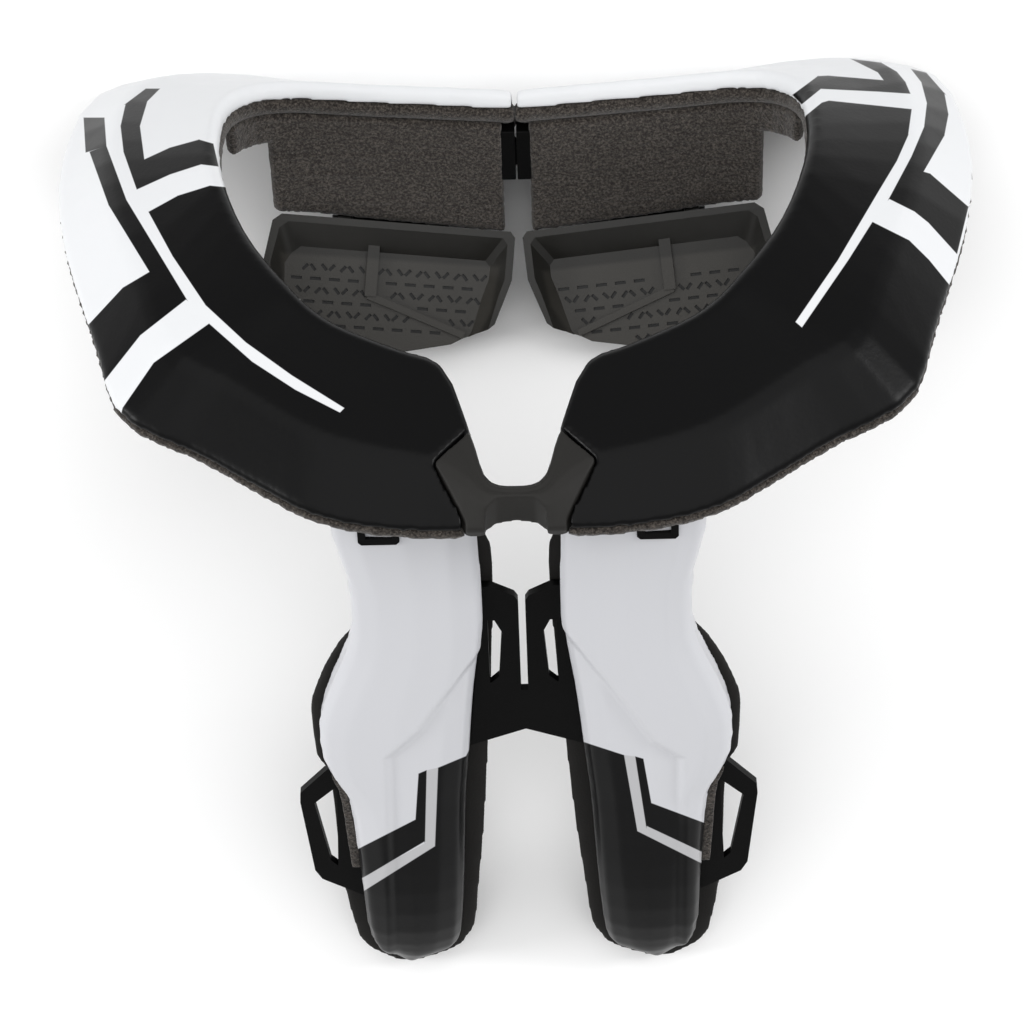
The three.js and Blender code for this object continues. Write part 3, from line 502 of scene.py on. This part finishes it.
# Wings: glossy moulded shells, white with inlaid dark areas and a light grey stripe, over cushions of
# black moulded foam. A raised panel, laid out on the stencil, runs down the outer side of each shell.
WING_AREAS = {
    "left": {
        "black": [
            [(438.5, 768), (466, 756.5), (500, 742.5), (500, 960), (435.4, 846.4)],
            [(466, 757), (471.5, 746), (500, 735), (500, 760)],
            [(435.4, 846.4), (500, 960), (400, 980), (340, 960), (350, 900.5), (370.9, 887)],
            [(418.9, 773.9), (426.2, 770.8), (424.6, 841), (415.9, 819.8)],
            [(415.9, 819.8), (424.6, 841), (368.7, 874), (350, 884), (345, 856.5), (363.9, 846.4)],
        ],
        "grey": [
            [(426.2, 770.8), (438.5, 768), (435.4, 846.4), (424.6, 841)],
            [(424.6, 841), (435.4, 846.4), (370.9, 887), (352, 898), (352, 883), (368.7, 874)],
        ],
        "panel": [
            [(520, 500), (520, 585), (416, 727), (383, 755), (300, 755), (300, 500)],
            [(383, 735), (391, 990), (300, 990), (300, 735)],
        ],
    },
    "right": {
        "black": [
            [(585.5, 743), (623.7, 755.4), (637, 831.4), (550, 960), (550, 731.7)],
            [(637, 831.4), (697.3, 861.6), (730, 878), (725, 960), (640, 980), (550, 960)],
            [(635.7, 757), (643, 759), (651, 803.3), (646.4, 825.4)],
            [(651, 803.3), (702.7, 822.7), (730, 833.5), (730, 864), (699.3, 850.2), (646.4, 825.4)],
        ],
        "grey": [
            [(623.7, 755.4), (635.7, 757), (646.4, 825.4), (637, 831.4)],
            [(637, 831.4), (646.4, 825.4), (699.3, 850.2), (730, 865), (730, 878), (697.3, 861.6)],
        ],
        "panel": [
            [(540, 500), (540, 590), (656, 737), (686, 754), (760, 754), (760, 500)],
            [(686, 735), (684, 990), (760, 990), (760, 735)],
        ],
    },
}
# Painted shade: the wings' white is the collar's white plastic made darker, for the weaker light on the
# tilted wings.
SHADED_WING_WHITE = (0.56, 0.565, 0.59)
GREY = (0.44, 0.44, 0.45)
PANEL_SOFT = 9
PANEL_HEIGHT = 0.0018


def raise_areas(piece, areas, soft, height):
    """Lifts a mesh where the stencil's areas fall on it: smoothstep t * t * (3 - 2 * t) at their edges."""
    count = len(piece.data.vertices)
    place, normal = np.empty(count * 3), np.empty(count * 3)
    piece.data.vertices.foreach_get("co", place)
    piece.data.vertices.foreach_get("normal", normal)
    ray = place.reshape(-1, 3) - eye
    depth = -ray @ eye_back
    across = ray @ eye_right / depth * FOCAL_PIXELS + CENTRE_PIXEL[0]
    down = CENTRE_PIXEL[1] - ray @ eye_up / depth * FOCAL_PIXELS
    t = np.clip(area_distance(across, down, areas, np.minimum, np.maximum) / soft + 1, 0, 1)
    faces_eye = np.clip(normal.reshape(-1, 3) @ eye_back * 2, 0, 1)
    lift = height * t * t * (3 - 2 * t) * faces_eye
    piece.data.vertices.foreach_set("co", place + normal * np.repeat(lift, 3))
    piece.data.update()


for side in SIDES:
    gloss = Finish(f"wing_gloss_{side}", 0.22, shine=0.12, coat=0.06)
    across, down = gloss.stencil()
    areas = WING_AREAS[side]
    stripe = gloss.mix(area_mask(across, down, areas["grey"]), SHADED_WING_WHITE, GREY)
    gloss.put("Base Color", gloss.mix(area_mask(across, down, areas["black"]), stripe, BLACK))
    fine_wear(gloss, 0.3)
    gloss.bump(gloss.noise(500, 3), 0.00002)
    shell = softened(f"wing_cover_{side}", f"wing_shell_{side}", 0.0008, 5)
    raise_areas(shell, areas["panel"], PANEL_SOFT, PANEL_HEIGHT)
    seat(shell, "brace", "shell_plastic", gloss, f"wing_shell_{side}")
foam = Finish("wing_foam", 0.7, shine=0.12)
foam.put("Base Color", foam.mix(foam.noise(60, 3), (0.010, 0.0095, 0.009), (0.017, 0.016, 0.015)))
foam.bump(foam.noise(1400, 3), 0.00012)
for side in SIDES:
    cushion = softened(f"back_cushion_{side}", f"wing_pad_{side}", 0.0012, 6)
    seat(cushion, "brace", "wing_foam", foam, f"wing_pad_{side}")

# Studio: a pale floor, a large soft light overhead and a smaller one from each side, which draws a soft
# highlight along the rolled edges.
ground = bpy.data.meshes.new("floor")
HALF_FLOOR = 3.0
FLOOR_BELOW = 0.0005
floor_signs = ((-1, -1), (1, -1), (1, 1), (-1, 1))
floor_corners = [(x * HALF_FLOOR, y * HALF_FLOOR, -FLOOR_BELOW) for x, y in floor_signs]
ground.from_pydata(floor_corners, [], [(0, 1, 2, 3)])
floor = bpy.data.objects.new("floor", ground)
bpy.context.scene.collection.objects.link(floor)
paper = Finish("floor_paper", 0.9, colour=(0.93, 0.93, 0.93))
ground.materials.append(paper.material)
bpy.context.scene.view_settings.view_transform = "Standard"
world = bpy.data.worlds.new("studio")
bpy.context.scene.world = world
world.use_nodes = True
world.node_tree.nodes["Background"].inputs[0].default_value = (1, 1, 1, 1)
world.node_tree.nodes["Background"].inputs[1].default_value = 0.58
LIGHTS = [
    ("overhead", (0.0, 0.1, 1.9), 3.0, 30),
    ("left_fill", (-1.4, -0.1, 0.7), 0.4, 8),
    ("right_fill", (1.3, 0.2, 0.9), 0.4, 7),
]
for name, place, size, power in LIGHTS:
    lamp = bpy.data.lights.new(name, "AREA")
    lamp.size, lamp.energy = size, power
    holder = bpy.data.objects.new(name, lamp)
    holder.location = place
    aim = np.array([0.0, 0.0, 0.08]) - np.array(place)
    holder.rotation_mode = "QUATERNION"
    holder.rotation_quaternion = Vector(aim).to_track_quat("-Z", "Y")
    bpy.context.scene.collection.objects.link(holder)
